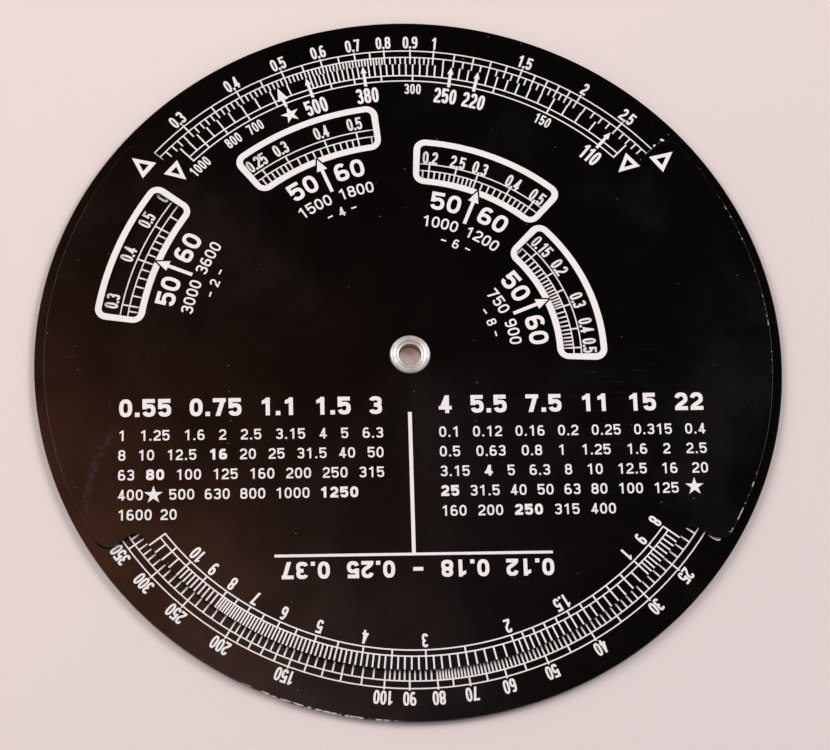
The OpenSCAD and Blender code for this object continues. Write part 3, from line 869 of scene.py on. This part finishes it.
# Width, height and stroke of the triangles at the ends of the outer and the inner scale
OUTER_TRIANGLE, OUTER_ENDS, OUTER_END_RADIUS = (4.7, 4.9, 0.95), (-51.8, 51.4), 70.9
INNER_TRIANGLE, INNER_ENDS, INNER_END_RADIUS = (4.4, 4.6, 0.9), (-48.9, 47.9), 67.9


def triangle(width, height, stroke):
    """The outline of a triangle that stands on its foot: it less itself drawn in towards its
    middle, which is a third of the way up."""
    outer = np.array([[-width / 2, 0], [width / 2, 0], [0, height]])
    middle = np.array([0, height / 3])
    inner = middle + (outer - middle) * (1 - 3 * stroke / height)
    return solid(*fill([outer, inner], lambda owners: owners == [0]))


end_marks = Print(cover_high)
for turn in OUTER_ENDS:
    end_marks.put(triangle(*OUTER_TRIANGLE), turn, at(turn, OUTER_END_RADIUS))
for turn in INNER_ENDS:
    end_marks.put(triangle(*INNER_TRIANGLE), turn + 180, at(turn, INNER_END_RADIUS))
end_marks.piece("end_marks", cover_ink, "cover", "cover_print")

# Two columns of plain figures on the cover, one each side of the upright line: a heavy line at
# the head and five rows of preferred numbers, with a small star in the fourth row. Under the
# line across, one heavy row is printed upside down.
LEFT, LEFT_AFTER_STAR, LEFT_LAST = (-62.1, -6.0), (-51.4, -11.5), (-53.2, -49.5)
RIGHT, RIGHT_TO_STAR, RIGHT_LAST = (5.5, 62.5), (5.5, 56.0), (5.5, 42.5)
FOOT_SPAN = (29.0, -28.2)
HEAD_Y, FIRST_ROW_Y, ROW_STEP, FOOT_Y = -13.4, -18.75, 4.39, -45.9
STARS = [(-54.5, -30.8), (59.2, -30.55)]
STAR_RADIUS = 2.05
ROWS = [
    (0, LEFT, "1 1.25 1.6 2 2.5 3.15 4 5 6.3"),
    (1, LEFT, "8 10 12.5 +16 20 25 31.5 40 50"),
    (2, LEFT, "63 +80 100 125 160 200 250 315"),
    (3, LEFT, "400"),
    (3, LEFT_AFTER_STAR, "500 630 800 1000 +1250"),
    (4, LEFT, "1600"),
    (4, LEFT_LAST, "20"),
    (0, RIGHT, "0.1 0.12 0.16 0.2 0.25 0.315 0.4"),
    (1, RIGHT, "0.5 0.63 0.8 1 1.25 1.6 2 2.5"),
    (2, RIGHT, "3.15 +4 5 6.3 8 10 12.5 16 20"),
    (3, RIGHT_TO_STAR, "+25 31.5 40 50 63 80 100 125"),
    (4, RIGHT_LAST, "160 200 +250 315 400"),
]
head_size = Figures(4.0, 2.75, 0.88, 3.3, point=1.6)
foot_size = Figures(3.7, 2.5, 0.8, 3.0, point=1.5)
row_size = Figures(2.35, 1.5, 0.37, 1.86, point=0.95)
stout_size = Figures(2.4, 1.7, 0.56, 2.1, point=1.1)


def star(radius):
    """A five-pointed star: five corners on its radius, and between them five where its long
    sides cross, on that radius times the sine of 18 over the sine of 54 degrees."""
    waist = radius * np.sin(np.radians(18)) / np.sin(np.radians(54))
    reach = np.where(np.arange(10) % 2 == 0, radius, waist)
    return solid(*fill([at(-36 * np.arange(10), 1.0) * reach[:, None]], bool))


column = Print(cover_high)
column.along_line(head_size, head_size, "0.55 0.75 1.1 1.5 3", *LEFT, HEAD_Y)
column.along_line(head_size, head_size, "4 5.5 7.5 11 15 22", *RIGHT, HEAD_Y)
for row, span, text in ROWS:
    column.along_line(row_size, stout_size, text, *span, FIRST_ROW_Y - ROW_STEP * row)
column.along_line(foot_size, foot_size, "0.12 0.18 - 0.25 0.37", *FOOT_SPAN, FOOT_Y)
for centre in STARS:
    column.put(star(STAR_RADIUS), 0, centre)
column.piece("column_figures", cover_ink, "cover", "cover_print")

# Camera. It stands a little below the disc's middle and looks down on the printed faces, at the
# photograph's angle and with its small roll. Its place and its aim are in millimetres.
CAMERA_AT = (-27.335, -221.658, 569.898)
CAMERA_AIM = (0.978, -4.312, 1.4)
CAMERA_ROLL = 6.236
camera = bpy.data.objects.new("camera", bpy.data.cameras.new("camera"))
bpy.context.scene.collection.objects.link(camera)
camera.location = Vector(CAMERA_AT) * MM
aim = Vector(CAMERA_AIM) * MM - camera.location
roll = Quaternion((0, 0, 1), np.radians(CAMERA_ROLL))
camera.rotation_mode = "QUATERNION"
camera.rotation_quaternion = aim.to_track_quat("-Z", "Y") @ roll
camera.data.lens = 123.81
camera.data.sensor_width = 36
camera.data.clip_start = 0.05
bpy.context.scene.camera = camera

# Floor. A plain pale table top under the eyelet's clinched end. Its colour carries painted light:
# a little warmer and lighter towards the upper left.
FLOOR_HALF = 3.0
FLOOR_TURN, FLOOR_FROM, FLOOR_TO = -50, -0.13, 0.12
FLOOR_PAINTED_SHADE, FLOOR_PAINTED_LIGHT = (0.768, 0.687, 0.685, 1), (0.848, 0.733, 0.715, 1)
floor_corners = [(-FLOOR_HALF, -FLOOR_HALF, 0), (FLOOR_HALF, -FLOOR_HALF, 0)]
floor_corners += [(FLOOR_HALF, FLOOR_HALF, 0), (-FLOOR_HALF, FLOOR_HALF, 0)]
floor_mesh = bpy.data.meshes.new("floor")
floor_mesh.from_pydata(floor_corners, [], [(0, 1, 2, 3)])
floor = bpy.data.objects.new("floor", floor_mesh)
bpy.context.scene.collection.objects.link(floor)
floor_material, floor_tree, floor_shader = new_material("floor")
floor_place = {0: place(floor_tree, turn=FLOOR_TURN)}
across_floor = add_node(floor_tree, "ShaderNodeSeparateXYZ", floor_place).outputs[1]
# Painted light: the floor's colour goes from a painted shade to a painted light towards the upper left
floor_share = ramp(floor_tree, across_floor, FLOOR_FROM, FLOOR_TO)
floor_tone = mix(floor_tree, floor_share, FLOOR_PAINTED_SHADE, FLOOR_PAINTED_LIGHT)
floor_tree.links.new(floor_tone, floor_shader.inputs["Base Color"])
floor_shader.inputs["Roughness"].default_value = 0.9
floor_mesh.materials.append(floor_material)

# Light. A soft lamp on the right, a larger one on the left, and the pale room round them, which
# is dark only where the printed faces mirror it to the camera. The lamps' places and sizes are
# in metres.
LAMP_TONE = (1, 0.98, 0.96)
MIRRORED_WAY = (0, 0.363, 0.932)
WALLS, DARK = (0.51, 0.5, 0.495, 1), (0.006, 0.006, 0.006, 1)
PATCH_ALONG, PATCH_SIDE = (0.6, 0.8), (0.8, -0.6)
PATCH_PALE, PATCH_WARM = (1, 0.8, 0.82, 1), (1.1, 0.39, 0.2, 1)
SEEN_TONE = (0.8, 0.7, 0.66, 1)


def softbox(name, centre, size, watts):
    """A flat square lamp that faces the object."""
    lamp = bpy.data.lights.new(name, "AREA")
    lamp.size = size
    lamp.energy = watts
    lamp.color = LAMP_TONE
    holder = bpy.data.objects.new(name, lamp)
    bpy.context.scene.collection.objects.link(holder)
    holder.location = centre
    holder.rotation_mode = "QUATERNION"
    holder.rotation_quaternion = (-Vector(centre)).to_track_quat("-Z", "Y")


softbox("right_lamp", (1.09, 0.58, 1.17), 0.8, 13)
softbox("left_lamp", (-1.17, 0.65, 1.2), 1.2, 16)


def room(tree):
    """The pale room round the lamps, by direction: it is dark round the one direction that the
    printed faces reflect to the camera, with a warm patch there for the disc's lower left. For
    the patch, directions are taken to a flat ceiling at height 1, where its edges are straight,
    and measured along it and to its side."""
    ray = add_node(tree, "ShaderNodeTexCoord").outputs["Generated"]
    x, y, z = add_node(tree, "ShaderNodeSeparateXYZ", {0: ray}).outputs
    up = math(tree, "MAXIMUM", z, 0.05)
    x, y = math(tree, "DIVIDE", x, up), math(tree, "DIVIDE", y, up)
    depth, across = (
        math(tree, "ADD", product(tree, x, way[0]), product(tree, y, way[1]))
        for way in (PATCH_ALONG, PATCH_SIDE)
    )
    core = ramp(tree, depth, 0.275, 0.195, 0, 0.74)
    halo = ramp(tree, depth, 0.38, 0.22, 0, 0.26)
    glow = product(
        tree,
        math(tree, "ADD", core, halo),
        ramp(tree, depth, -0.12, 0.08),
        ramp(tree, across, -0.65, -0.45),
        ramp(tree, across, -0.06, -0.19),
    )
    patch = mix(tree, ramp(tree, across, -0.1, -0.23), PATCH_PALE, PATCH_WARM)
    inputs = {0: ray, 1: MIRRORED_WAY}
    near = add_node(tree, "ShaderNodeVectorMath", inputs, operation="DOT_PRODUCT").outputs["Value"]
    return mix(tree, glow, mix(tree, ramp(tree, near, 0.77, 0.88), WALLS, DARK), patch)


world = bpy.data.worlds.new("world")
bpy.context.scene.world = world
world.use_nodes = True
sky = world.node_tree
seen = add_node(sky, "ShaderNodeLightPath").outputs["Is Camera Ray"]
sky.links.new(mix(sky, seen, room(sky), SEEN_TONE), sky.nodes["Background"].inputs["Color"])
bpy.context.scene.view_settings.view_transform = "Standard"
